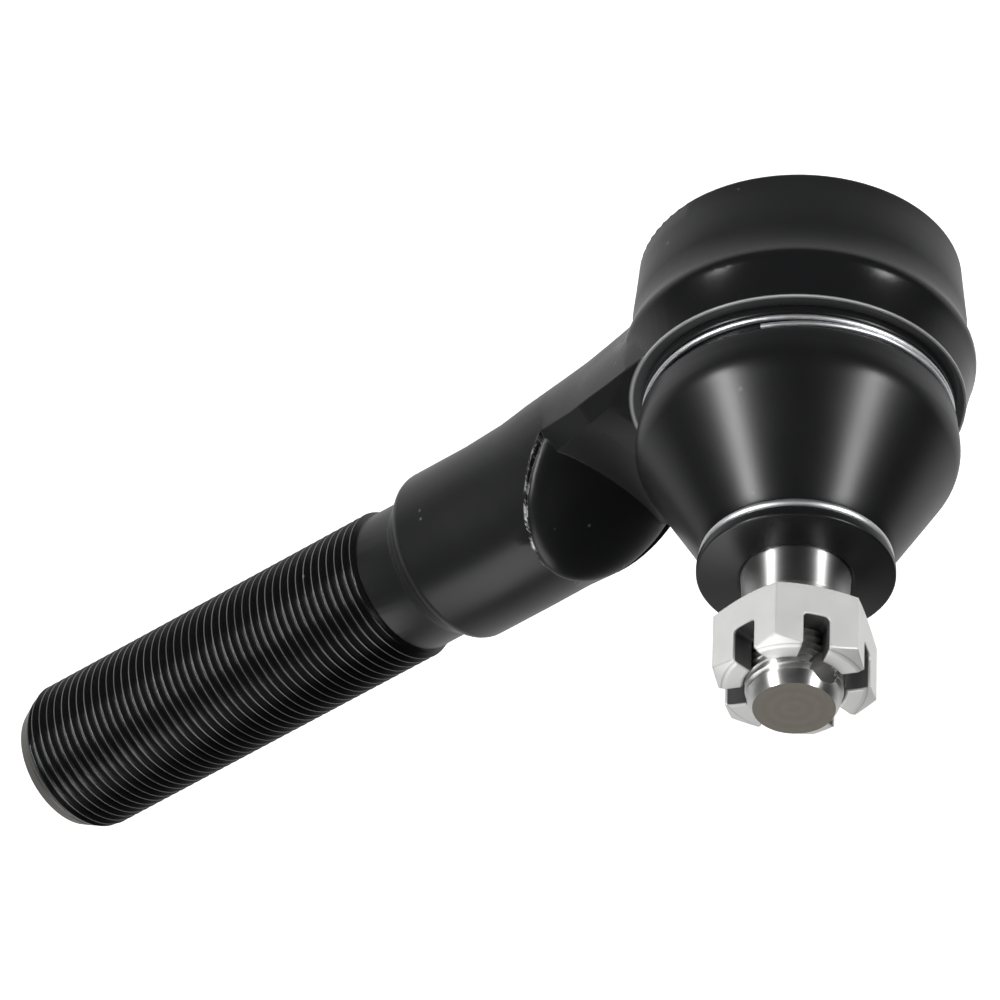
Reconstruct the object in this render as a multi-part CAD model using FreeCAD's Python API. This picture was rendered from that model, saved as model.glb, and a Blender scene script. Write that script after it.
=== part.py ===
import FreeCAD
import Part
import math
import os

# Tie rod end. Millimetres. Origin at the ball centre, Z along the stud, X along the threaded shank.

# shank, along +X
SHANK_R = 15.0
SHANK_PITCH = 2.0
SHANK_DEPTH = 1.2
SHANK_CRESTS = 43
FIRST_CREST_X = 184.8
SHANK_END_X = 189.0
SHANK_END_R = 12.7
RELIEF_R = 14.05
RELIEF_X = 90.5
NECK_R = 17.1
NECK_X = 86.6
NECK_JOIN_X = 72.5

# forged socket, around Z
CLOSED_Z = -22.5
CLOSED_R = 30.1
WALL_TOP_Z = -11.0
WALL_TOP_R = 31.1
COLLAR_Z = -1.5
COLLAR_R = 32.85
LIP_Z = 7.6
ROOM_Z = LIP_Z - 0.2
LIP_R = 31.0
SPIGOT_R = 25.6
SPIGOT_GROOVE_R = 24.6
SPIGOT_TOP_Z = 14.0
BORE_R = 21.5
COVER_BORE_R = 24.0

# neck between shank and socket
SCOOP_X = 47.1
SCOOP_SLOPE = 0.79
SCOOP_FLOOR_Z = 3.3
SCOOP_FLOOR_RISE = 0.19
SCOOP_BULGE = 4.6
SCOOP_INNER_X = -5.0
NECK_FLOOR_Z = -20.2
# distance from the ball, radius and drop of each round section of the flare
NECK_SECTIONS = [
    (72.5, 17.1, 0.0),
    (62.5, 17.3, 0.45),
    (56.0, 17.9, 0.85),
    (47.0, 18.7, 1.0),
    (38.0, 21.2, -1.5),
    (31.0, 23.5, -3.5),
    (25.0, 25.4, -5.0),
    (18.0, 27.7, -6.8),
    (10.0, 28.5, -7.5),
]
# one edge of the scoop's floor, from its outer end towards the socket, and the slope of the side below it
SCOOP_EDGE = [(53.0, -12.3, 2.7), (12.0, -27.3, 10.4)]
SCOOP_SIDE_SLOPE = 0.68

# ball stud, along +Z
BALL_R = 17.0
BALL_FLAT = 0.6
STUD_NECK_R = 9.3
TAPER_LOW_Z = 29.0
TAPER_REF_Z = 48.0
TAPER_REF_R = 10.2
TAPER_RATE = 1.0 / 16.0
TAPER_TOP_Z = 56.6
STUD_R = 9.0
STUD_PITCH = 1.5
STUD_DEPTH = 0.92
STUD_THREAD_Z = 59.2
STUD_END_Z = 78.6
STUD_END_R = 7.55
COTTER_R = 3.1
COTTER_Z = 74.2
COTTER_ANGLE = 8.5

# bearings and cap
RUN_GAP = 0.05
SEAT_GAP = 0.02
COVER_Z = -18.6
COVER_T = 2.6

# castle nut
NUT_AF = 27.0
NUT_Z0 = 60.5
NUT_Z1 = 74.2
NUT_SLOT_W = 5.1
NUT_SLOT_Z = 67.0
NUT_SLOT_CORNER = 1.0
NUT_ANGLE = 1.65

# dust boot and its rings
BOOT_T = 2.4
RING_UP_Z = 11.1
RING_UP_R = 28.45
RING_UP_WIRE = 0.55
RING_UP_TURNS = 1.9
RING_LOW_Z = 44.9
RING_LOW_R = 17.15
RING_LOW_WIRE = 0.85
DISC_R = 18.3
DISC_Z0 = 45.9
DISC_Z1 = 48.2
SEAL_Z = 49.3

# grease fitting on the cap
FIT_R = 3.0
FIT_HEX_AF = 8.0
FIT_END_Z = -34.0
FIT_BORE_R = 1.4
FIT_TIP_R = 0.8
FIT_KEEPER_R = 0.7
FIT_KEEPER_Z = -21.0
FIT_COIL_R = 0.85
FIT_WIRE_R = 0.2
FIT_TURNS = 6.0
FIT_BALL_R = 1.15
FIT_BALL_Z = FIT_END_Z + 1.46

Z_AXIS = FreeCAD.Vector(0, 0, 1)
X_AXIS = FreeCAD.Vector(1, 0, 0)
Y_AXIS = FreeCAD.Vector(0, 1, 0)
ORIGIN = FreeCAD.Vector(0, 0, 0)
HALF_ROOM = 40.0


def vec(x, y, z):
    return FreeCAD.Vector(x, y, z)


def outline(points):
    """Closed wire from (r, z) points; an item of two points is an arc through the first to the second."""
    edges = []
    start = points[0]
    last = start
    for item in points[1:] + [start]:
        if isinstance(item[0], tuple):
            mid, end = item
            a = vec(last[0], 0, last[1])
            b = vec(mid[0], 0, mid[1])
            c = vec(end[0], 0, end[1])
            edges.append(Part.Arc(a, b, c).toShape())
            last = end
        else:
            if abs(item[0] - last[0]) + abs(item[1] - last[1]) < 1e-9:
                continue
            edges.append(Part.makeLine(vec(last[0], 0, last[1]), vec(item[0], 0, item[1])))
            last = item
    return Part.Wire(edges)


def turned(points):
    """Solid of revolution about Z from (r, z) points."""
    face = Part.Face(outline(points))
    return face.revolve(ORIGIN, Z_AXIS, 360)


def along_x(shape):
    """Turn a shape made along +Z so that it lies along +X."""
    out = shape.copy()
    out.rotate(ORIGIN, Y_AXIS, 90)
    return out


def on_sphere(radius, offset):
    """Distance from the axis of a sphere's surface at that offset from its centre."""
    return math.sqrt(radius ** 2 - offset ** 2)


def taper_r(z):
    return TAPER_REF_R - (z - TAPER_REF_Z) * TAPER_RATE


def ring_thread(first, pitch, count, crest, depth, down):
    """(r, z) points of ring grooves, crest by crest, going in the -z direction when down is true."""
    step = -1.0 if down else 1.0
    land = pitch * 0.07
    points = []
    for i in range(count):
        c = first + step * i * pitch
        points.append((crest - depth, c - step * (0.5 * pitch - land)))
        points.append((crest, c - step * land))
        points.append((crest, c + step * land))
        points.append((crest - depth, c + step * (0.5 * pitch - land)))
    return points


def shank():
    thread = ring_thread(FIRST_CREST_X, SHANK_PITCH, SHANK_CRESTS, SHANK_R, SHANK_DEPTH, True)
    points = [(0, SHANK_END_X), (SHANK_END_R - 0.4, SHANK_END_X), (SHANK_END_R, SHANK_END_X - 0.4)]
    points.append((SHANK_R - SHANK_DEPTH, FIRST_CREST_X + 1.6))
    points += thread
    last = thread[-1][1]
    points.append((RELIEF_R, last - 0.6))
    points.append((RELIEF_R, RELIEF_X + 0.6))
    points.append(((RELIEF_R + 0.18, RELIEF_X), (RELIEF_R + 0.6, RELIEF_X - 0.5)))
    points.append((NECK_R - 1.1, NECK_X + 1.3))
    points.append(((NECK_R - 0.3, NECK_X + 0.3), (NECK_R, NECK_X - 0.9)))
    points.append((NECK_R, NECK_JOIN_X))
    points.append((0, NECK_JOIN_X))
    return along_x(turned(points))


def neck():
    """Flared forging between the shank and the socket, flat along its underside."""
    wires = []
    for x, radius, drop in NECK_SECTIONS:
        circle = Part.makeCircle(radius, vec(x, 0, -drop), X_AXIS)
        wires.append(Part.Wire([circle]))
    flare = Part.makeLoft(wires, True, True)
    above = Part.makeBox(2 * HALF_ROOM, 2 * HALF_ROOM, 2 * HALF_ROOM, vec(0, -HALF_ROOM, NECK_FLOOR_Z))
    return flare.common(above)


def scoop():
    """Wedge cut from the neck on the boot's side, with a floor that rises towards the socket."""
    floor_x = SCOOP_X + SCOOP_SLOPE * SCOOP_FLOOR_Z
    inner_z = SCOOP_FLOOR_Z + SCOOP_FLOOR_RISE * (floor_x - SCOOP_INNER_X)
    corners = [
        vec(SCOOP_INNER_X, -HALF_ROOM, inner_z),
        vec(floor_x, -HALF_ROOM, SCOOP_FLOOR_Z),
        vec(SCOOP_X + SCOOP_SLOPE * HALF_ROOM, -HALF_ROOM, HALF_ROOM),
        vec(SCOOP_INNER_X, -HALF_ROOM, HALF_ROOM),
    ]
    side = Part.Face(Part.makePolygon(corners + [corners[0]]))
    return side.extrude(vec(0, 2 * HALF_ROOM, 0))


def scoop_side():
    """Wedge that slopes one side of the scoop's floor down to the neck's flank."""
    (x, y, z), inner = SCOOP_EDGE
    corners = [
        vec(x, y, z),
        vec(x, y - HALF_ROOM, z - SCOOP_SIDE_SLOPE * HALF_ROOM),
        vec(x, y - HALF_ROOM, z + HALF_ROOM),
        vec(x, y, z + HALF_ROOM),
    ]
    face = Part.Face(Part.makePolygon(corners + [corners[0]]))
    wedge = face.extrude(vec(*inner) - vec(x, y, z))
    corners = [
        vec(SCOOP_INNER_X, -2 * HALF_ROOM, -HALF_ROOM),
        vec(SCOOP_X - SCOOP_SLOPE * HALF_ROOM, -2 * HALF_ROOM, -HALF_ROOM),
        vec(SCOOP_X + SCOOP_SLOPE * HALF_ROOM, -2 * HALF_ROOM, HALF_ROOM),
        vec(SCOOP_INNER_X, -2 * HALF_ROOM, HALF_ROOM),
    ]
    face = Part.Face(Part.makePolygon(corners + [corners[0]]))
    return wedge.common(face.extrude(vec(0, 2 * HALF_ROOM, 0)))


def scoop_dome():
    """Rounded nose that fills the scoop between the neck and the boot."""
    tilt = math.degrees(math.atan2(1.0, SCOOP_SLOPE))
    dome = Part.makeSphere(1.0)
    matrix = FreeCAD.Matrix()
    matrix.scale(NECK_R / math.sin(math.radians(tilt)), NECK_R, SCOOP_BULGE)
    dome = dome.transformGeometry(matrix)
    dome.rotate(ORIGIN, Y_AXIS, -tilt)
    dome.translate(vec(SCOOP_X, 0, 0))
    above = Part.makeBox(2 * HALF_ROOM, 2 * HALF_ROOM, HALF_ROOM, vec(0.5 * HALF_ROOM, -HALF_ROOM, 0))
    return dome.common(above)


def socket_outside():
    points = [(0, CLOSED_Z), (CLOSED_R - 1.0, CLOSED_Z)]
    points.append(((CLOSED_R - 0.25, CLOSED_Z + 0.2), (CLOSED_R, CLOSED_Z + 0.9)))
    points.append((WALL_TOP_R, WALL_TOP_Z))
    points.append(((WALL_TOP_R + 0.45, WALL_TOP_Z + 5.2), (COLLAR_R - 0.35, COLLAR_Z - 1.4)))
    points.append(((COLLAR_R, COLLAR_Z), (COLLAR_R - 0.3, COLLAR_Z + 1.6)))
    points.append(((0.5 * (COLLAR_R + LIP_R) - 0.2, 0.5 * (COLLAR_Z + LIP_Z) + 0.4), (LIP_R, LIP_Z)))
    points.append((SPIGOT_R + 2.6, LIP_Z))
    points.append((SPIGOT_R + 2.2, LIP_Z - 0.2))
    points.append((SPIGOT_GROOVE_R, LIP_Z - 0.2))
    points.append((SPIGOT_GROOVE_R, 11.8))
    points.append((SPIGOT_R, 12.4))
    points.append((SPIGOT_R, SPIGOT_TOP_Z - 0.8))
    points.append((SPIGOT_R - 0.8, SPIGOT_TOP_Z))
    points.append((0, SPIGOT_TOP_Z))
    return turned(points)


def socket_inside():
    rim_z = CLOSED_Z - 1.0
    points = [(0, rim_z), (COVER_BORE_R - 1.4, rim_z), (COVER_BORE_R - 1.4, CLOSED_Z + 0.5)]
    points.append((COVER_BORE_R, CLOSED_Z + 1.7))
    points.append((COVER_BORE_R, COVER_Z + 0.1))
    points.append((BORE_R, COVER_Z + 0.1))
    points.append((BORE_R, 2.0))
    points.append((16.4, 7.1))
    points.append((16.4, 8.4))
    points.append((19.8, SPIGOT_TOP_Z - 0.3))
    points.append((20.4, SPIGOT_TOP_Z + 1.0))
    points.append((0, SPIGOT_TOP_Z + 1.0))
    return turned(points)


def housing():
    side = scoop_side()
    other_side = side.mirror(ORIGIN, Y_AXIS)
    barrel = neck().fuse(shank()).cut(scoop()).cut(side).cut(other_side).fuse(scoop_dome())
    # keep the neck out of the boot's room
    room = turned([(0, ROOM_Z), (40.5, ROOM_Z), (42.5, 30.0), (0, 30.0)])
    shape = socket_outside().fuse(barrel.cut(room)).cut(socket_inside())
    return shape.removeSplitter()


def ball_stud():
    neck_z = on_sphere(BALL_R, STUD_NECK_R)
    flat_z = BALL_FLAT - BALL_R
    points = [(0, flat_z), (on_sphere(BALL_R, flat_z), flat_z)]
    points.append(((BALL_R, 0.0), (STUD_NECK_R, neck_z)))
    points.append(((STUD_NECK_R - 0.25, neck_z + 2.2), (STUD_NECK_R + 0.3, neck_z + 4.6)))
    points.append((taper_r(TAPER_LOW_Z) - 0.5, TAPER_LOW_Z - 1.5))
    points.append((taper_r(TAPER_LOW_Z), TAPER_LOW_Z))
    points.append((taper_r(TAPER_TOP_Z), TAPER_TOP_Z))
    points.append((STUD_R - STUD_DEPTH, TAPER_TOP_Z + 1.2))
    points.append((STUD_R - STUD_DEPTH, STUD_THREAD_Z - 0.6))
    count = int((STUD_END_Z - 3.4 - STUD_THREAD_Z) / STUD_PITCH)
    points += ring_thread(STUD_THREAD_Z + 0.4, STUD_PITCH, count + 1, STUD_R, STUD_DEPTH, False)
    points.append((STUD_R - 0.3, STUD_END_Z - 2.7))
    points.append(((STUD_R - 0.75, STUD_END_Z - 1.2), (STUD_END_R, STUD_END_Z)))
    points.append((0, STUD_END_Z))
    shape = turned(points)
    hole = Part.makeCylinder(COTTER_R, 40, vec(-20, 0, COTTER_Z), X_AXIS)
    hole.rotate(ORIGIN, Z_AXIS, COTTER_ANGLE)
    return shape.cut(hole)


def upper_bearing():
    r = BALL_R + RUN_GAP
    low, high = 1.0, 7.6
    outer = BORE_R - SEAT_GAP
    points = [(on_sphere(r, low), low), (outer, low), (outer, 1.98)]
    points.append((16.45, 7.02))
    points.append((16.3, high))
    points.append((on_sphere(r, high), high))
    mid = 0.5 * (low + high)
    points.append(((on_sphere(r, mid), mid), points[0]))
    return turned(points)


def lower_bearing():
    r = BALL_R + RUN_GAP
    hole = 9.5
    low, high = -on_sphere(r, hole), 0.2
    outer = BORE_R - SEAT_GAP
    floor = -16.2
    points = [(outer, high), (outer, floor + 0.8), (outer - 0.8, floor), (hole, floor)]
    points.append((on_sphere(r, low), low))
    mid = 0.5 * (low + high)
    points.append(((on_sphere(r, mid), mid), (on_sphere(r, high), high)))
    return turned(points)


def pressure_spring():
    """Disc spring pressed between the lower bearing and the cap."""
    top = [(11.0, -16.3), (12.4, -16.25), (19.6, -17.25)]
    return turned(top + [(19.6, -18.55), (18.4, -18.5), (11.0, -17.5)])


def cover_plate():
    outer = COVER_BORE_R - SEAT_GAP
    low = COVER_Z - COVER_T
    inner = FIT_R + 0.03
    points = [(inner, -20.0), (8.0, -20.0), (15.0, COVER_Z), (outer, COVER_Z), (outer, low + 0.45)]
    points.append((outer - 0.95, low - 0.38))
    points.append((18.0, low - 0.38))
    points.append((11.0, low - 1.6))
    points.append((inner, low - 1.6))
    return turned(points)


def hexagon(af, z0, z1, angle):
    r = af / math.sqrt(3.0)
    corners = []
    for i in range(6):
        a = math.radians(angle + 60 * i)
        corners.append(vec(r * math.cos(a), r * math.sin(a), z0))
    face = Part.Face(Part.makePolygon(corners + [corners[0]]))
    return face.extrude(vec(0, 0, z1 - z0))


def grease_body():
    seat = COVER_Z - COVER_T - 1.6
    base = seat - 0.02
    points = [(0, -19.2), (FIT_R - 0.3, -19.2), (FIT_R, -19.6), (FIT_R, base)]
    points += [(3.9, base), (3.9, base - 3.4), (2.4, base - 4.2), (2.4, base - 6.6)]
    points += [(3.2, base - 7.8), (3.2, FIT_END_Z + 1.4)]
    points += [(2.0, FIT_END_Z), (0, FIT_END_Z)]
    body = turned(points)
    flats = hexagon(FIT_HEX_AF, base - 3.2, base, 0.0)
    crown = turned([(0, base), (4.45, base), (4.45, base - 2.6), (3.9, base - 3.2), (0, base - 3.2)])
    body = body.fuse(flats.common(crown))
    points = [(0, -18.0), (FIT_BORE_R, -18.0), (FIT_BORE_R, FIT_END_Z + 1.4)]
    points += [(FIT_TIP_R, FIT_END_Z + 0.5), (FIT_TIP_R, FIT_END_Z - 1.0), (0, FIT_END_Z - 1.0)]
    bore = turned(points)
    top, low, wide = FIT_KEEPER_Z, FIT_KEEPER_Z - 0.6, FIT_BORE_R + 0.1
    keeper = turned([(FIT_KEEPER_R, top), (wide, top), (wide, low), (FIT_KEEPER_R, low)])
    return body.cut(bore).fuse(keeper).removeSplitter()


def grease_ball():
    return Part.makeSphere(FIT_BALL_R, vec(0, 0, FIT_BALL_Z))


def coil(radius, wire, z0, height, turns):
    helix = Part.makeHelix(height / turns, height, radius)
    helix.translate(vec(0, 0, z0))
    profile = Part.Wire([Part.makeCircle(wire, vec(radius, 0, z0), Y_AXIS)])
    return Part.Wire(helix.Edges).makePipeShell([profile], True, True)


def grease_spring():
    low = FIT_BALL_Z + 0.98 + FIT_WIRE_R
    top = FIT_KEEPER_Z - 0.65 - FIT_WIRE_R
    return coil(FIT_COIL_R, FIT_WIRE_R, low, top - low, FIT_TURNS)


def dust_boot():
    """Rubber boot: bead round the spigot, straight cone, flat sealing lip round the taper."""
    t = BOOT_T
    bead_r = RING_UP_R - RING_UP_WIRE
    low_r = RING_LOW_R - RING_LOW_WIRE
    seal_top = taper_r(SEAL_Z - 0.5) + RUN_GAP
    seal_low = taper_r(DISC_Z0 - 4.0) + RUN_GAP
    outer = [(SPIGOT_GROOVE_R + 0.05, LIP_Z + 0.6), (bead_r + 0.9, LIP_Z + 0.6)]
    outer.append((bead_r + 1.4, LIP_Z + 1.2))
    outer.append((bead_r + 0.9, RING_UP_Z - 1.85))
    outer.append((bead_r - 0.05, RING_UP_Z - 1.75))
    outer.append((bead_r - 0.05, RING_UP_Z + 1.75))
    outer.append((29.2, RING_UP_Z + 1.9))
    outer.append(((29.75, 16.8), (29.95, 19.3)))
    outer.append(((29.75, 21.2), (28.9, 23.2)))
    outer.append((low_r + 1.0, 43.3))
    outer.append(((low_r + 0.2, 43.7), (low_r - 0.05, RING_LOW_Z - 0.7)))
    outer.append((low_r - 0.05, RING_LOW_Z + 0.9))
    outer.append((DISC_R - 0.4, DISC_Z0))
    outer.append((DISC_R, DISC_Z0 + 0.5))
    outer.append((DISC_R, DISC_Z1 - 0.5))
    outer.append((DISC_R - 0.5, DISC_Z1))
    outer.append((seal_top + 0.6, SEAL_Z))
    outer.append((seal_top, SEAL_Z - 0.5))
    outer.append((seal_low, DISC_Z0 - 4.0))
    outer.append((seal_low + 1.2, DISC_Z0 - 4.4))
    outer.append((low_r - 0.6, 42.2))
    outer.append((28.9 - t - 0.4, 22.6))
    outer.append(((29.75 - t, 20.6), (29.95 - t, 18.9)))
    outer.append((29.3 - t, 14.6))
    outer.append((SPIGOT_R + 0.05, 13.4))
    outer.append((SPIGOT_R + 0.05, 12.4))
    outer.append((SPIGOT_GROOVE_R + 0.05, 11.75))
    return turned(outer)


def upper_ring():
    """Two-turn spring wire."""
    height = RING_UP_TURNS * (2 * RING_UP_WIRE + 0.06)
    return coil(RING_UP_R, RING_UP_WIRE, RING_UP_Z - 0.5 * height + 0.05, height, RING_UP_TURNS)


def lower_ring():
    return Part.makeTorus(RING_LOW_R, RING_LOW_WIRE, vec(0, 0, RING_LOW_Z), Z_AXIS)


def slot_tool():
    """Flat-floored slot with rounded floor corners, along X."""
    half = 0.5 * NUT_SLOT_W
    c = NUT_SLOT_CORNER
    upper = Part.makeBox(40, NUT_SLOT_W, 20, vec(-20, -half, NUT_SLOT_Z + c))
    lower = Part.makeBox(40, NUT_SLOT_W - 2 * c, 4, vec(-20, c - half, NUT_SLOT_Z))
    tool = upper.fuse(lower)
    for side in (-1, 1):
        tool = tool.fuse(Part.makeCylinder(c, 40, vec(-20, side * (half - c), NUT_SLOT_Z + c), X_AXIS))
    return tool.removeSplitter()


def castle_nut():
    body = hexagon(NUT_AF, NUT_Z0, NUT_Z1, NUT_ANGLE)
    corner = NUT_AF / math.sqrt(3.0)
    flat = 0.5 * NUT_AF
    crown = [(0, NUT_Z0), (flat - 0.3, NUT_Z0), (corner + 0.1, NUT_Z0 + 0.9)]
    crown += [(corner + 0.1, NUT_Z1 - 1.35), (flat - 0.9, NUT_Z1), (0, NUT_Z1)]
    body = body.common(turned(crown))
    for i in range(3):
        slot = slot_tool()
        slot.rotate(ORIGIN, Z_AXIS, NUT_ANGLE + 30 + 60 * i)
        body = body.cut(slot)
    r = STUD_R + RUN_GAP
    bore = turned([(0, NUT_Z0 - 1), (r + 1.9, NUT_Z0 - 1), (r, NUT_Z0 + 0.9),
                   (r, NUT_Z1 - 0.7), (r + 1.7, NUT_Z1 + 1), (0, NUT_Z1 + 1)])
    return body.cut(bore)


def save(name, shape):
    os.makedirs("parts", exist_ok=True)
    if shape.ShapeType == "Compound" and len(shape.Solids) == 1:
        shape = shape.Solids[0]
    print(name, shape.ShapeType, len(shape.Solids), shape.isValid(), round(shape.Volume, 2))
    shape.exportStep("parts/" + name + ".step")


save("housing", housing())
save("ball_stud", ball_stud())
save("upper_bearing", upper_bearing())
save("lower_bearing", lower_bearing())
save("pressure_spring", pressure_spring())
save("cover_plate", cover_plate())
save("grease_fitting_body", grease_body())
save("grease_fitting_ball", grease_ball())
save("grease_fitting_spring", grease_spring())
save("dust_boot", dust_boot())
save("boot_upper_ring", upper_ring())
save("boot_lower_ring", lower_ring())
save("castle_nut", castle_nut())
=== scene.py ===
import math
import bmesh
import bpy
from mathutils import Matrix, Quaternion, Vector


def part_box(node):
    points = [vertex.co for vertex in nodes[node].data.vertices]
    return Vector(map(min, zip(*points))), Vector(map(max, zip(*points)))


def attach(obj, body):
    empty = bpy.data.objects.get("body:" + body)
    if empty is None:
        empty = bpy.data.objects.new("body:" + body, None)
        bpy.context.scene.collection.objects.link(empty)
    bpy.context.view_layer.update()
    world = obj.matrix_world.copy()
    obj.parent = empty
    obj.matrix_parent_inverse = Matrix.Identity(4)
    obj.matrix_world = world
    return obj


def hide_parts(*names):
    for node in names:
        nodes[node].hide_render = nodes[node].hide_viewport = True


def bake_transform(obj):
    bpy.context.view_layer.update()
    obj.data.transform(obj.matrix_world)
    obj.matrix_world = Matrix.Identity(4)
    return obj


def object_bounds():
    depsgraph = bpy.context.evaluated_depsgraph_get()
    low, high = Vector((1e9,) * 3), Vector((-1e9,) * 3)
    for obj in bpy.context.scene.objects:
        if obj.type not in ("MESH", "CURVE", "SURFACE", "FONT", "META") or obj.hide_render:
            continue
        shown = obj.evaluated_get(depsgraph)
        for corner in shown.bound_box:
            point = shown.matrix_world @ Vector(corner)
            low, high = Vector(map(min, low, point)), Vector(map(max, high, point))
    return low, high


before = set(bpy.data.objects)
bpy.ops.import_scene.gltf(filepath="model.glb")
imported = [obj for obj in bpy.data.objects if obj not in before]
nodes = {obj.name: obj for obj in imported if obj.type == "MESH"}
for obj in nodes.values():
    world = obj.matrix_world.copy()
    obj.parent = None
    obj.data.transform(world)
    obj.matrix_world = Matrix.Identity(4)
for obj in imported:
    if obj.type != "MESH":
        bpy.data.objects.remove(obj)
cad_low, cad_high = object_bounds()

mm = 0.001

# ---- Forged body ------------------------------------------------------------------------------------
# One steel drop forging: the round socket, the neck that flares into it, and a plain relief that ends
# where the thread starts. It is coated in semi-gloss black, smoother on the turned collar, thin on the
# collar's lip, and chipped along the sharp edge where the neck is scooped out for the boot. The lip is
# painted lighter, partly for its thin coat and partly as a painted reflection, and a painted highlight
# runs along its outer edge, where the paint is thin.


class Value:
    """One shader socket. Arithmetic on it adds Math nodes to the finish that it belongs to."""

    def __init__(self, finish, socket):
        self.finish = finish
        self.socket = socket

    def math(self, operation, *values):
        return self.finish.node("Math", {"operation": operation}, dict(enumerate(values)))

    def __add__(self, other):
        return self.math("ADD", self, other)

    def __radd__(self, other):
        return self.math("ADD", other, self)

    def __sub__(self, other):
        return self.math("SUBTRACT", self, other)

    def __rsub__(self, other):
        return self.math("SUBTRACT", other, self)

    def __mul__(self, other):
        return self.math("MULTIPLY", self, other)

    def __rmul__(self, other):
        return self.math("MULTIPLY", other, self)

    def __pow__(self, other):
        return self.math("POWER", self, other)

    def __abs__(self):
        return self.math("ABSOLUTE", self)

    def ramp(self, low, high):
        """0 at low, 1 at high, and smooth between them; low may be the larger of the two."""
        limits = {"Value": self, "From Min": low, "From Max": high}
        return self.finish.node("MapRange", {"interpolation_type": "SMOOTHSTEP"}, limits)


class Finish:
    """A material or a world in the making, with the place on the piece in metres as x, y and z."""

    def __init__(self, name, owners=bpy.data.materials):
        self.owner = owners.new(name)
        self.owner.use_nodes = True
        self.tree = self.owner.node_tree
        self.tree.nodes.clear()
        self.place = self.node("TexCoord", output="Object")
        self.x, self.y, self.z = (
            self.node("SeparateXYZ", inputs={"Vector": self.place}, output=axis) for axis in "XYZ"
        )

    def node(self, kind, settings=None, inputs=None, output=0):
        """Adds a node: its settings first, then a value or a link for each input."""
        made = self.tree.nodes.new("ShaderNode" + kind)
        for key, value in (settings or {}).items():
            setattr(made, key, value)
        for key, value in (inputs or {}).items():
            socket = self.pick(made.inputs, key)
            if isinstance(value, Value):
                self.tree.links.new(value.socket, socket)
            else:
                socket.default_value = value
        return Value(self, self.pick(made.outputs, output)) if made.outputs else None

    def pick(self, sockets, key):
        """The socket with that identifier, or else with that name or number."""
        return next((s for s in sockets if s.identifier == key), None) or sockets[key]

    def noise(self, size, detail=3.0, stretch=(1.0, 1.0, 1.0)):
        """Noise from 0 to 1 with features about size metres across, longer where stretch is over 1."""
        turned = {"Vector": self.place, "Scale": [1.0 / s for s in stretch]}
        place = self.node("Mapping", {}, turned)
        return self.node("TexNoise", {}, {"Vector": place, "Scale": 1.0 / size, "Detail": detail})

    def specks(self, size, share):
        """1 on small round spots, at most one to a cell of that size, on the given share of cells."""
        inputs = {"Vector": self.place, "Scale": 1.0 / size}
        near = self.node("TexVoronoi", {}, inputs, "Distance")
        cell = self.node("TexVoronoi", {}, inputs, "Color")
        chosen = self.node("SeparateColor", {}, {"Color": cell}, "Red")
        return near.ramp(0.14, 0.05) * chosen.ramp(1.0 - share, 1.005 - share)

    def mix(self, amount, under, over):
        """Colour under where amount is 0, and over where it is 1."""
        under, over = (c if isinstance(c, Value) else (*c, 1.0) for c in (under, over))
        inputs = {"Factor_Float": amount, "A_Color": under, "B_Color": over}
        return self.node("Mix", {"data_type": "RGBA"}, inputs, "Result_Color")

    def bump(self, height, depth, rounding=0.0):
        """A Normal for height, where 1 stands depth metres proud; rounding eases the sharp edges."""
        inputs = {"Height": height, "Distance": depth, "Strength": 1.0}
        if rounding:
            inputs["Normal"] = self.node("Bevel", {"samples": 6}, {"Radius": rounding})
        return self.node("Bump", {}, inputs)

    def shader(self, **inputs):
        """One Principled shader; Base_Color stands for Base Color."""
        named = {key.replace("_", " "): value for key, value in inputs.items()}
        return self.node("BsdfPrincipled", {}, named)

    def close(self, shader):
        """Ends the material with that shader."""
        self.node("OutputMaterial", {}, {"Surface": shader})
        return self.owner

    def done(self, **inputs):
        """Ends the material with one Principled shader."""
        return self.close(self.shader(**inputs))


def cad_copy(name):
    """A welded copy of a CAD node's mesh, to be shaped further."""
    bm = bmesh.new()
    bm.from_mesh(nodes[name].data)
    bmesh.ops.remove_doubles(bm, verts=bm.verts, dist=0.5e-6)
    return bm


def cut_at(bm, place, outward):
    """Cuts away what lies beyond a plane, and closes the cut."""
    parts = bm.verts[:] + bm.edges[:] + bm.faces[:]
    plane = {"plane_co": place, "plane_no": outward}
    bmesh.ops.bisect_plane(bm, geom=parts, dist=1e-7, clear_outer=True, **plane)
    rim = [edge for edge in bm.edges if edge.is_boundary]
    bmesh.ops.edgeloop_fill(bm, edges=rim)


def piece(name, bm, material, crease=34.0):
    """Makes a named piece at the origin, smooth except over edges sharper than crease degrees."""
    for face in bm.faces:
        face.smooth = True
    for edge in bm.edges:
        edge.smooth = len(edge.link_faces) != 2 or edge.calc_face_angle() < math.radians(crease)
    mesh = bpy.data.meshes.new(name)
    bm.to_mesh(mesh)
    bm.free()
    if "custom_normal" in mesh.attributes:
        mesh.attributes.remove(mesh.attributes["custom_normal"])
    mesh.materials.clear()
    mesh.materials.append(material)
    made = bpy.data.objects.new(name, mesh)
    bpy.context.scene.collection.objects.link(made)
    return made


relief_end = 99.0 * mm
collar_low, collar_r = -1.2 * mm, 34.0 * mm
lip_z, lip_r = 7.6 * mm, 31.0 * mm
# the scooped face of the neck runs out along the shank as it rises along the stud
scoop_start, scoop_slope = 47.2 * mm, 0.79
chip_width = 0.62 * mm
chips_from_y, chips_to_y = -14.0 * mm, -1.0 * mm

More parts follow.
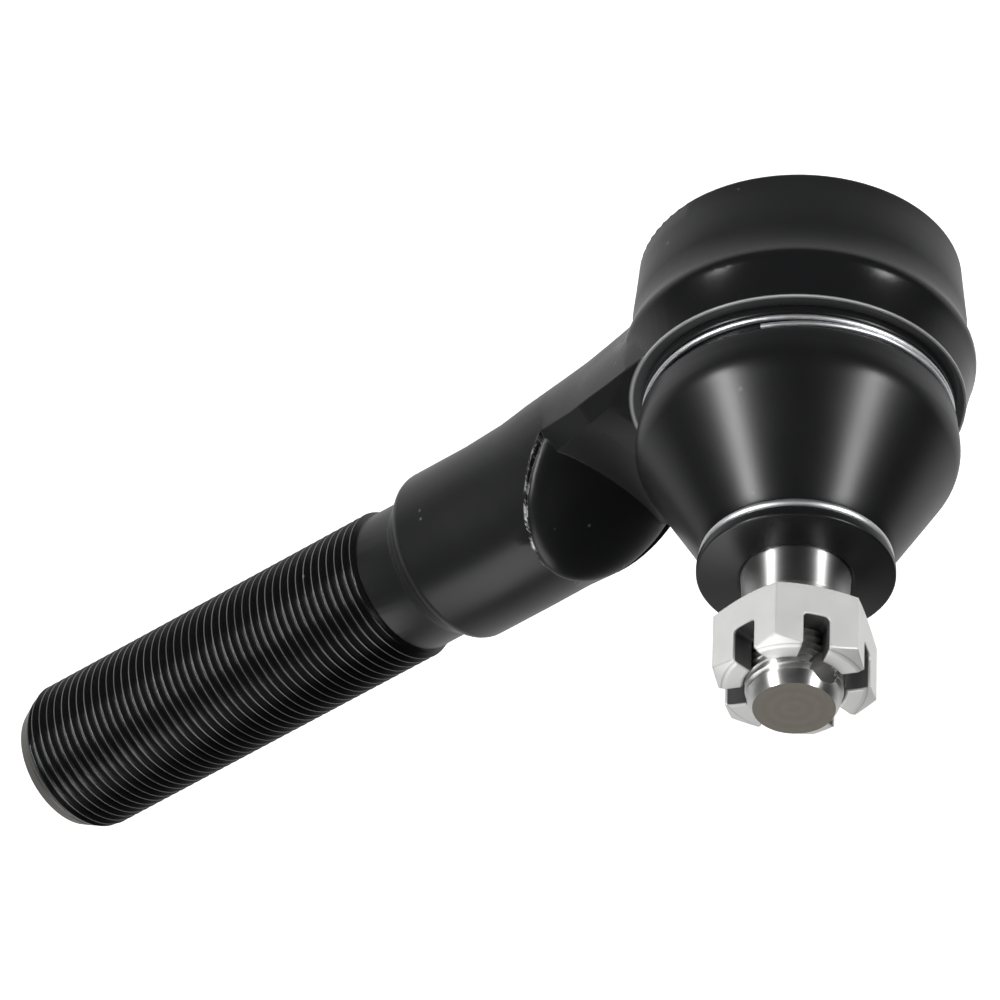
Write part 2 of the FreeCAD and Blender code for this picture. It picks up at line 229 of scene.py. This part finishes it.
paint = Finish("black_forging_paint")
off_stud_axis = (paint.x ** 2.0 + paint.y ** 2.0) ** 0.5
on_collar = paint.z.ramp(collar_low - 4.9 * mm, collar_low) * paint.x.ramp(collar_r + 2 * mm, collar_r)
over_lip = paint.z.ramp(lip_z - 0.5 * mm, lip_z - 0.1 * mm)
# the lip is painted lighter: partly its thin coat, partly a painted reflection
on_lip = over_lip * off_stud_axis.ramp(lip_r + 0.5 * mm, lip_r)
# a painted highlight along the lip's outer edge, which also stands for the thinner paint there
lip_rim_highlight = on_lip * off_stud_axis.ramp(lip_r - 0.6 * mm, lip_r - 0.2 * mm)

orange_peel = paint.noise(1.6 * mm, 2.0)
forge_skin = paint.noise(5.0 * mm, 4.0)
tool_marks = paint.noise(0.9 * mm, 2.0, stretch=(1.0, 1.0, 9.0))
height = orange_peel * 0.5 + forge_skin * 0.8 * (1 - on_collar) + tool_marks * on_collar

on_edge = abs(paint.x - paint.z * scoop_slope - scoop_start).ramp(chip_width, 0.3 * chip_width)
scratches = paint.noise(0.16 * mm, 4.0, stretch=(1.0, 5.0, 7.0))
broken = (paint.noise(2.6 * mm, 5.0) + scratches).ramp(1.00, 1.12)
rubbed = paint.z.ramp(1.0 * mm, 3.0 * mm) * paint.y.ramp(chips_to_y, chips_to_y - 3.0 * mm)
most_rubbed = 0.45 + 0.55 * paint.y.ramp(chips_from_y, chips_from_y + 3.0 * mm)
chip = on_edge * broken * rubbed * most_rubbed
dust = paint.specks(3.2 * mm, 0.10)
# chips and dust, and the painted highlight along the lip's rim
chips_dust_and_rim_highlight = chip.math("MAXIMUM", chip, dust * 0.16 + lip_rim_highlight * 0.5)

skin_black = paint.mix(paint.noise(14 * mm, 2.0), (0.0088, 0.0090, 0.0095), (0.0120, 0.0122, 0.0128))
coated = paint.mix(on_collar, skin_black, (0.006, 0.0062, 0.0066))
# the lighter lip colour: thin coat and painted reflection
black = paint.mix(on_lip, coated, (0.062, 0.063, 0.065))
forging_paint = paint.done(
    Base_Color=paint.mix(chips_dust_and_rim_highlight, black, (0.60, 0.60, 0.60)),
    Roughness=0.30 - 0.12 * on_collar + 0.06 * paint.noise(9 * mm, 3.0) + 0.1 * chip,
    Normal=paint.bump(height, 0.009 * mm, 0.40 * mm),
    Specular_IOR_Level=0.36,
)

bm = cad_copy("housing")
cut_at(bm, (relief_end, 0, 0), (1, 0, 0))
forging = piece("forged_body", bm, forging_paint)
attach(forging, "socket")
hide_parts("housing")

# ---- Shank thread -----------------------------------------------------------------------------------
# The long external thread of the same forging, rolled at 2 mm pitch with rounded crests and roots. It
# runs out into the relief. The chamfered free end has lost its black coat and shows bare steel.

pitch = 2.0 * mm
thread_r, root_r, relief_r = 15.0 * mm, 13.8 * mm, 14.05 * mm
free_end = cad_high.x
end_r, end_slope = 12.7 * mm, 0.5
run_out_slope, lead_in = 1.2, 1.3
steps = 80
turns = math.ceil((free_end - relief_end) / pitch) + 2

oxide = Finish("black_thread_oxide")
radius = (oxide.y ** 2.0 + oxide.z ** 2.0) ** 0.5
crest = radius.ramp(thread_r - 0.10 * mm, thread_r - 0.02 * mm)
bare = oxide.x.ramp(free_end - 3.1 * mm, free_end - 2.6 * mm) * radius.ramp(root_r + 0.3 * mm, root_r)
# the crests are painted lighter, in patches along the thread, as a painted highlight
crest_highlight = crest * (0.55 + 0.45 * oxide.noise(9 * mm, 2.0).ramp(0.3, 0.7))
# the painted crest highlight, plus small spots of thin coat
crest_highlight_and_thin_spots = crest_highlight * 0.5 + oxide.specks(4.0 * mm, 0.05) * 0.4
turned_rings = oxide.noise(0.25 * mm, 2.0, stretch=(1.0, 12.0, 12.0))
coat = oxide.mix(crest_highlight_and_thin_spots, (0.006, 0.006, 0.0062), (0.20, 0.195, 0.19))
thread_oxide = oxide.done(
    Base_Color=oxide.mix(bare, coat, (0.17, 0.163, 0.152)),
    Roughness=0.20 + 0.06 * oxide.noise(6 * mm, 2.0) + 0.22 * bare,
    Metallic=0.9 * bare,
    Normal=oxide.bump(turned_rings * bare + oxide.noise(0.8 * mm, 2.0) * 0.15, 0.012 * mm),
    Specular_IOR_Level=0.5,
)

# the rising flank: share of the pitch, and share of the way from root to crest
flank = [(0.0, 0.0), (0.08, 0.02), (0.14, 0.12), (0.27, 0.48), (0.40, 0.86), (0.44, 0.96), (0.5, 1.0)]
one_turn = flank + [(1.0 - along, height) for along, height in flank[-2::-1]]
bm = bmesh.new()
row = [
    bm.verts.new((relief_end + (along - lead_in) * pitch, 0, root_r + height * (thread_r - root_r)))
    for along, height in one_turn
]
row += [bm.edges.new(pair) for pair in zip(row, row[1:])]
bmesh.ops.spin(
    bm, geom=row, cent=(0, 0, 0), axis=(1, 0, 0), dvec=(pitch / steps, 0, 0),
    angle=math.tau, steps=steps, use_merge=False,
)
first_turn = bm.verts[:] + bm.edges[:] + bm.faces[:]
for turn in range(1, turns):
    copied = bmesh.ops.duplicate(bm, geom=first_turn)["geom"]
    moved = [part for part in copied if isinstance(part, bmesh.types.BMVert)]
    bmesh.ops.translate(bm, verts=moved, vec=(turn * pitch, 0, 0))
bmesh.ops.remove_doubles(bm, verts=bm.verts, dist=1e-6)
for vert in bm.verts:
    run_out = relief_r + run_out_slope * max(0.0, vert.co.x - relief_end)
    chamfer = end_r + end_slope * (free_end - vert.co.x)
    across = math.hypot(vert.co.y, vert.co.z)
    shrink = min(1.0, run_out / across, chamfer / across)
    vert.co.y *= shrink
    vert.co.z *= shrink
cut_at(bm, (relief_end, 0, 0), (-1, 0, 0))
cut_at(bm, (free_end, 0, 0), (1, 0, 0))
bmesh.ops.recalc_face_normals(bm, faces=bm.faces)
thread = piece("shank_thread", bm, thread_oxide, 50.0)
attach(thread, "socket")

# ---- Dust boot --------------------------------------------------------------------------------------
# A moulded rubber bellows with no folds: a bead that grips the spigot under the upper ring, a rounded
# shoulder, a straight cone, and a flat sealing lip round the stud's taper. The real boot bends where
# the stud swings; here its shoulder and its cone are two pieces that share one edge.


def turned(outline, steps=128):
    """A solid of revolution about Z from a closed outline of (radius, height) points in millimetres."""
    bm = bmesh.new()
    row = [bm.verts.new((r * mm, 0, z * mm)) for r, z in outline]
    row += [bm.edges.new((a, b)) for a, b in zip(row, row[1:] + row[:1])]
    bmesh.ops.spin(
        bm, geom=row, cent=(0, 0, 0), axis=(0, 0, 1), angle=math.tau, steps=steps, use_merge=True,
    )
    bmesh.ops.remove_doubles(bm, verts=bm.verts, dist=1e-7)
    bmesh.ops.recalc_face_normals(bm, faces=bm.faces)
    return bm


def curve(start, pull, end, count=6):
    """Points of a smooth bend that leaves start and reaches end, drawn towards pull."""
    points = []
    for i in range(count + 1):
        t = i / count
        a, b, c = (1 - t) ** 2, 2 * t * (1 - t), t * t
        points.append(tuple(a * s + b * p + c * e for s, p, e in zip(start, pull, end)))
    return points


def straight(start, end, count):
    """Points evenly spaced from start to end, without the end."""
    return [tuple(s + (e - s) * i / count for s, e in zip(start, end)) for i in range(count)]


rubber = Finish("satin_black_rubber")
skin = rubber.noise(0.5 * mm, 3.0)
bloom = rubber.noise(11 * mm, 3.0)
rubber_black = rubber.mix(bloom, (0.0038, 0.0039, 0.0042), (0.0058, 0.0059, 0.0064))
boot_rubber = rubber.done(
    Base_Color=rubber.mix(rubber.specks(4.5 * mm, 0.06) * 0.12, rubber_black, (0.35, 0.34, 0.33)),
    Roughness=0.29 + 0.06 * bloom,
    Normal=rubber.bump(skin, 0.0015 * mm),
    Specular_IOR_Level=0.5,
)

seam_z, shoulder_z, hem_z = 30.0, 23.2, 43.3
shoulder_r, hem_r = 28.9, 17.3
seam_r = shoulder_r + (hem_r - shoulder_r) * (seam_z - shoulder_z) / (hem_z - shoulder_z)
wall = 2.8
seam_in_r = seam_r - wall
cone = straight((shoulder_r, shoulder_z), (seam_r, seam_z), 4)
lining = straight((seam_in_r, seam_z), (shoulder_r - wall, shoulder_z - 0.6), 4)
outline = [(24.65, 7.75)] + curve((28.4, 7.75), (28.95, 7.75), (28.95, 8.3), 3)
outline += curve((28.95, 9.3), (28.95, 9.75), (28.5, 9.75), 3) + [(27.85, 9.75)]
outline += [(27.85, 12.7)] + curve((28.3, 12.9), (29.3, 12.9), (29.45, 14.0), 4)
outline += curve((29.6, 15.5), (29.95, 17.6), (29.97, 19.2), 4)
outline += curve((29.97, 19.6), (29.85, 21.6), (shoulder_r + 0.05, shoulder_z - 0.1), 8)
outline += cone[1:] + [(seam_r, seam_z)] + lining
outline += curve((26.3, 21.6), (27.5, 20.0), (27.4, 18.2), 5) + [(26.9, 14.6), (25.65, 13.4)]
outline += [(25.65, 12.4), (24.65, 11.75)]
shoulder = piece("boot_shoulder", turned(outline), boot_rubber)
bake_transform(shoulder)
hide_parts("dust_boot")

disc_r, disc_low, disc_high = 18.3, 45.9, 48.2
outline = straight((seam_r, seam_z), (hem_r, hem_z), 8)
outline += curve((hem_r, hem_z), (16.6, 44.0), (16.25, 44.0), 4) + [(16.25, 45.9)]
outline += curve((disc_r - 0.9, disc_low), (disc_r, disc_low), (disc_r, disc_low + 1.1), 6)
outline += curve((disc_r, disc_high - 0.3), (disc_r, disc_high), (disc_r - 0.35, disc_high + 0.02), 4)
outline += [(13.8, 48.8), (10.8, 49.25), (10.22, 48.9), (10.63, 41.9), (11.8, 41.5), (15.7, 42.2)]
outline += straight((15.7, 42.2), (seam_in_r, seam_z), 7)[1:] + [(seam_in_r, seam_z)]
cone_piece = piece("boot_cone", turned(outline), boot_rubber)
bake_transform(cone_piece)
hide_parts("dust_boot")

# ---- Boot rings -------------------------------------------------------------------------------------
# Bright spring wire. The upper ring is one wire wound a little over a turn: its first end lies apart in
# the groove, then the turns close up side by side. The lower ring is a single closed hoop.

spring_wire = Finish("bright_spring_wire")
drawn = spring_wire.noise(0.35 * mm, 3.0, stretch=(6.0, 6.0, 1.0))
ring_steel = spring_wire.done(
    Base_Color=spring_wire.mix(drawn, (0.82, 0.83, 0.85), (0.94, 0.95, 0.97)),
    Roughness=0.36 + 0.14 * drawn,
    Metallic=1.0,
    Normal=spring_wire.bump(drawn, 0.008 * mm),
)

wire_r = 0.55 * mm
ring_r = 28.45 * mm
first_end_angle, first_end_z = 242.8, 12.25 * mm
degrees_each = 3
# each stretch of the wire: degrees turned, and rise along the stud in millimetres
stretches = [(48, -0.70), (110, 0.0), (150, -0.55), (52, -0.55), (38, 0.0), (100, 0.0)]
bm = bmesh.new()
bmesh.ops.create_circle(bm, cap_ends=False, radius=wire_r, segments=14)
upright = Quaternion((1, 0, 0), math.radians(90)).to_matrix()
to_first_end = Quaternion((0, 0, 1), math.radians(first_end_angle)).to_matrix()
bmesh.ops.rotate(bm, verts=bm.verts, cent=(0, 0, 0), matrix=upright)
bmesh.ops.translate(bm, verts=bm.verts, vec=(ring_r, 0, first_end_z))
bmesh.ops.rotate(bm, verts=bm.verts, cent=(0, 0, 0), matrix=to_first_end)
loop = bm.verts[:] + bm.edges[:]
bmesh.ops.edgeloop_fill(bm, edges=bm.edges[:])
for degrees, rise in stretches:
    count = round(degrees / degrees_each)
    swept = bmesh.ops.spin(
        bm, geom=loop, cent=(0, 0, 0), axis=(0, 0, 1), dvec=(0, 0, rise * mm / count),
        angle=-math.radians(degrees), steps=count, use_merge=False,
    )
    loop = swept["geom_last"]
bmesh.ops.edgeloop_fill(bm, edges=[part for part in loop if isinstance(part, bmesh.types.BMEdge)])
bmesh.ops.recalc_face_normals(bm, faces=bm.faces)
upper_ring = piece("upper_ring_wire", bm, ring_steel)
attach(upper_ring, "socket")
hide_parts("boot_upper_ring")

nodes["boot_lower_ring"].material_slots[0].material = ring_steel

# ---- Ball stud --------------------------------------------------------------------------------------
# One turned and ground steel part: the ball, a waist, the locking taper and a threaded end with a
# drilled hole. The taper is ground bright, and the cropped end face is left dull and a little brown.

steel = Finish("ground_stud_steel")
stud_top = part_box("ball_stud")[1].z
cropped_r = 7.5 * mm
lathe = steel.noise(0.22 * mm, 3.0, stretch=(14.0, 14.0, 1.0))
off_axis = (steel.x ** 2.0 + steel.y ** 2.0) ** 0.5
at_top = steel.z.ramp(stud_top - 0.10 * mm, stud_top - 0.02 * mm)
end_face = at_top * off_axis.ramp(cropped_r + 0.25 * mm, cropped_r)
wave = off_axis * 2600.0
rings = wave.math("SINE", wave)
stain = steel.mix(steel.noise(1.1 * mm, 4.0), (0.150, 0.136, 0.112), (0.190, 0.174, 0.148))
ground = steel.shader(
    Base_Color=steel.mix(lathe, (0.74, 0.735, 0.73), (0.86, 0.855, 0.85)),
    Roughness=0.33 + 0.04 * lathe,
    Metallic=1.0,
    Normal=steel.bump(lathe, 0.0006 * mm, 0.12 * mm),
    Anisotropic=0.85,
    Anisotropic_Rotation=0.25,
)
cropped = steel.shader(
    Base_Color=stain,
    Roughness=0.55 + 0.10 * rings,
    Metallic=0.3,
    Normal=steel.bump(rings, 0.001 * mm),
)
stud_steel = steel.close(steel.node("MixShader", {}, {0: end_face, 1: ground, 2: cropped}))
nodes["ball_stud"].material_slots[0].material = stud_steel

# ---- Castle nut -------------------------------------------------------------------------------------
# A hexagon nut, cold formed and plated pale zinc, that draws the taper up. Six slots are milled across
# its crown for the split pin.

zinc = Finish("pale_satin_zinc")
cloud = zinc.noise(5 * mm, 3.0)
tumbled = zinc.noise(0.35 * mm, 3.0)
nut_off_axis = (zinc.x ** 2.0 + zinc.y ** 2.0) ** 0.5
# the slots are painted dark grey as painted shade; their walls lie just inside the crown's side and
# below its top
slot_r, slot_z = 13.2 * mm, 73.7 * mm
slot_painted_shade = nut_off_axis.ramp(slot_r + 0.25 * mm, slot_r) * zinc.z.ramp(slot_z + 0.4 * mm, slot_z)
# the zinc's own colour, outside the painted shade of the slots
unshaded_zinc = zinc.mix(cloud, (0.70, 0.70, 0.69), (0.78, 0.78, 0.77))
nut_zinc = zinc.done(
    Base_Color=zinc.mix(slot_painted_shade, unshaded_zinc, (0.11, 0.11, 0.11)),
    Roughness=0.38 + 0.10 * cloud,
    Metallic=0.6,
    Normal=zinc.bump(tumbled, 0.003 * mm, 0.60 * mm),
)
nodes["castle_nut"].material_slots[0].material = nut_zinc

# ---- Bearings ---------------------------------------------------------------------------------------
# Two moulded acetal cups that hold the ball, off-white with fine mould texture.

acetal = Finish("moulded_acetal")
mould = acetal.noise(0.4 * mm, 3.0)
flow = acetal.noise(6 * mm, 2.0)
bearing_acetal = acetal.done(
    Base_Color=acetal.mix(flow, (0.70, 0.69, 0.64), (0.78, 0.77, 0.73)),
    Roughness=0.44 + 0.10 * mould,
    Normal=acetal.bump(mould, 0.006 * mm),
)
for name in ("upper_bearing", "lower_bearing"):
    nodes[name].material_slots[0].material = bearing_acetal

# ---- Disc spring ------------------------------------------------------------------------------------
# A stamped spring steel disc, tempered blue-black, that keeps the lower cup against the ball.

temper = Finish("tempered_spring_steel")
scale = temper.noise(2.2 * mm, 4.0)
disc_spring = temper.done(
    Base_Color=temper.mix(scale, (0.16, 0.17, 0.21), (0.30, 0.31, 0.34)),
    Roughness=0.34 + 0.14 * scale,
    Metallic=1.0,
    Normal=temper.bump(temper.noise(0.3 * mm, 2.0), 0.005 * mm),
)
nodes["pressure_spring"].material_slots[0].material = disc_spring

# ---- Cover plate ------------------------------------------------------------------------------------
# A pressed steel cap, swaged into the back of the socket and painted with it.

cap_paint = Finish("black_cap_paint")
draw_marks = cap_paint.noise(1.2 * mm, 3.0)
cap_off_axis = (cap_paint.x ** 2.0 + cap_paint.y ** 2.0) ** 0.5
cap_edge_r = 22.8 * mm
at_edge = cap_off_axis.ramp(cap_edge_r - 0.8 * mm, cap_edge_r)
scuff = at_edge * cap_paint.noise(2.4 * mm, 4.0).ramp(0.55, 0.70)
cover_paint = cap_paint.done(
    Base_Color=cap_paint.mix(scuff * 0.5, (0.011, 0.011, 0.012), (0.20, 0.195, 0.19)),
    Roughness=0.36 + 0.12 * draw_marks,
    Normal=cap_paint.bump(draw_marks, 0.012 * mm),
    Specular_IOR_Level=0.4,
)
nodes["cover_plate"].material_slots[0].material = cover_paint

# ---- Grease fitting ---------------------------------------------------------------------------------
# A small zinc plated fitting screwed into the cap, with a steel ball that closes its tip. A wire spring
# presses the ball on its seat; in the real fitting it shortens when the ball is pushed in.

plate = Finish("yellow_zinc_plate")
passivate = plate.noise(1.8 * mm, 3.0)
fitting_zinc = plate.done(
    Base_Color=plate.mix(passivate, (0.66, 0.60, 0.40), (0.78, 0.73, 0.56)),
    Roughness=0.26 + 0.12 * passivate,
    Metallic=1.0,
    Normal=plate.bump(plate.noise(0.2 * mm, 2.0, stretch=(8.0, 8.0, 1.0)), 0.006 * mm, 0.08 * mm),
)
nodes["grease_fitting_body"].material_slots[0].material = fitting_zinc

polish = Finish("polished_check_ball")
ball_steel = polish.done(
    Base_Color=polish.mix(polish.noise(0.6 * mm, 2.0), (0.72, 0.72, 0.73), (0.82, 0.82, 0.83)),
    Roughness=0.10 + 0.08 * polish.noise(0.3 * mm, 2.0),
    Metallic=1.0,
)
nodes["grease_fitting_ball"].material_slots[0].material = ball_steel

check_spring = piece("check_spring", cad_copy("grease_fitting_spring"), ring_steel)
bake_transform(check_spring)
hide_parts("grease_fitting_spring")

# ---- Studio -----------------------------------------------------------------------------------------
# A plain white sweep well under the part, a tall soft light on each side and a square one overhead, in
# a room that is bright behind the part and below, and dark where the camera stands.


def from_part(azimuth, elevation):
    """The direction from the part towards that azimuth and elevation in degrees."""
    azimuth, elevation = math.radians(azimuth), math.radians(elevation)
    level = math.cos(elevation)
    return Vector((math.sin(azimuth) * level, -math.cos(azimuth) * level, math.sin(elevation)))


back = from_part(-43.57, 38.23)
view_roll = math.radians(182.11)
aim, view_distance = Vector((0.05107, -0.02534, 0.01988)), 1.9857
camera_data = bpy.data.cameras.new("camera")
camera_data.lens, camera_data.sensor_width = 385.81, 36.0
camera_data.clip_start, camera_data.clip_end = 0.1, 60.0
camera = bpy.data.objects.new("camera", camera_data)
camera.location = aim + back * view_distance
camera.rotation_mode = "QUATERNION"
camera.rotation_quaternion = (-back).to_track_quat("-Z", "Y") @ Quaternion((0, 0, 1), view_roll)
bpy.context.scene.collection.objects.link(camera)
bpy.context.scene.camera = camera

sweep_size, sweep_z = 30.0, -0.30
white = Finish("white_sweep")
matt = white.node("BsdfDiffuse", {}, {"Color": (0.9, 0.9, 0.9, 1.0)})
glow = white.node("Emission", {}, {"Color": (1.0, 1.0, 1.0, 1.0), "Strength": 0.75})
sweep_white = white.close(white.node("AddShader", {}, {0: matt, 1: glow}))
bm = bmesh.new()
bmesh.ops.create_grid(bm, x_segments=4, y_segments=4, size=sweep_size)
bmesh.ops.translate(bm, verts=bm.verts, vec=(0, 0, sweep_z))
floor = piece("floor", bm, sweep_white)
floor.visible_glossy = False

room = Finish("studio", bpy.data.worlds)
direction = room.node("TexCoord", output="Generated")
brightest = Vector((-back.x, -back.y, 0)).normalized() + Vector((0, 0, -0.9))
towards = room.node("VectorMath", {"operation": "DOT_PRODUCT"}, {0: direction, 1: brightest}, "Value")
sky = room.node("Background", {}, {"Strength": 0.03 + 0.78 * towards.ramp(0.12, 0.75)})
room.node("OutputWorld", {}, {"Surface": sky})
bpy.context.scene.world = room.owner


def soft_light(name, azimuth, elevation, distance, width, height, power):
    """A rectangular lamp that looks at the socket from that direction."""
    data = bpy.data.lights.new(name, "AREA")
    data.shape, data.size, data.size_y, data.energy = "RECTANGLE", width, height, power
    lamp = bpy.data.objects.new(name, data)
    out = from_part(azimuth, elevation)
    lamp.location = out * distance
    lamp.rotation_mode = "QUATERNION"
    lamp.rotation_quaternion = (-out).to_track_quat("-Z", "Y")
    lamp.visible_camera = False
    bpy.context.scene.collection.objects.link(lamp)


soft_light("left_strip", -91.5, 13, 1.3, 0.24, 1.00, 12.5)
soft_light("right_strip", 8.5, 13, 1.3, 0.24, 1.00, 14.5)
soft_light("overhead", 100, 67, 1.1, 0.80, 0.80, 5.8)
bpy.context.scene.view_settings.view_transform = "Standard"
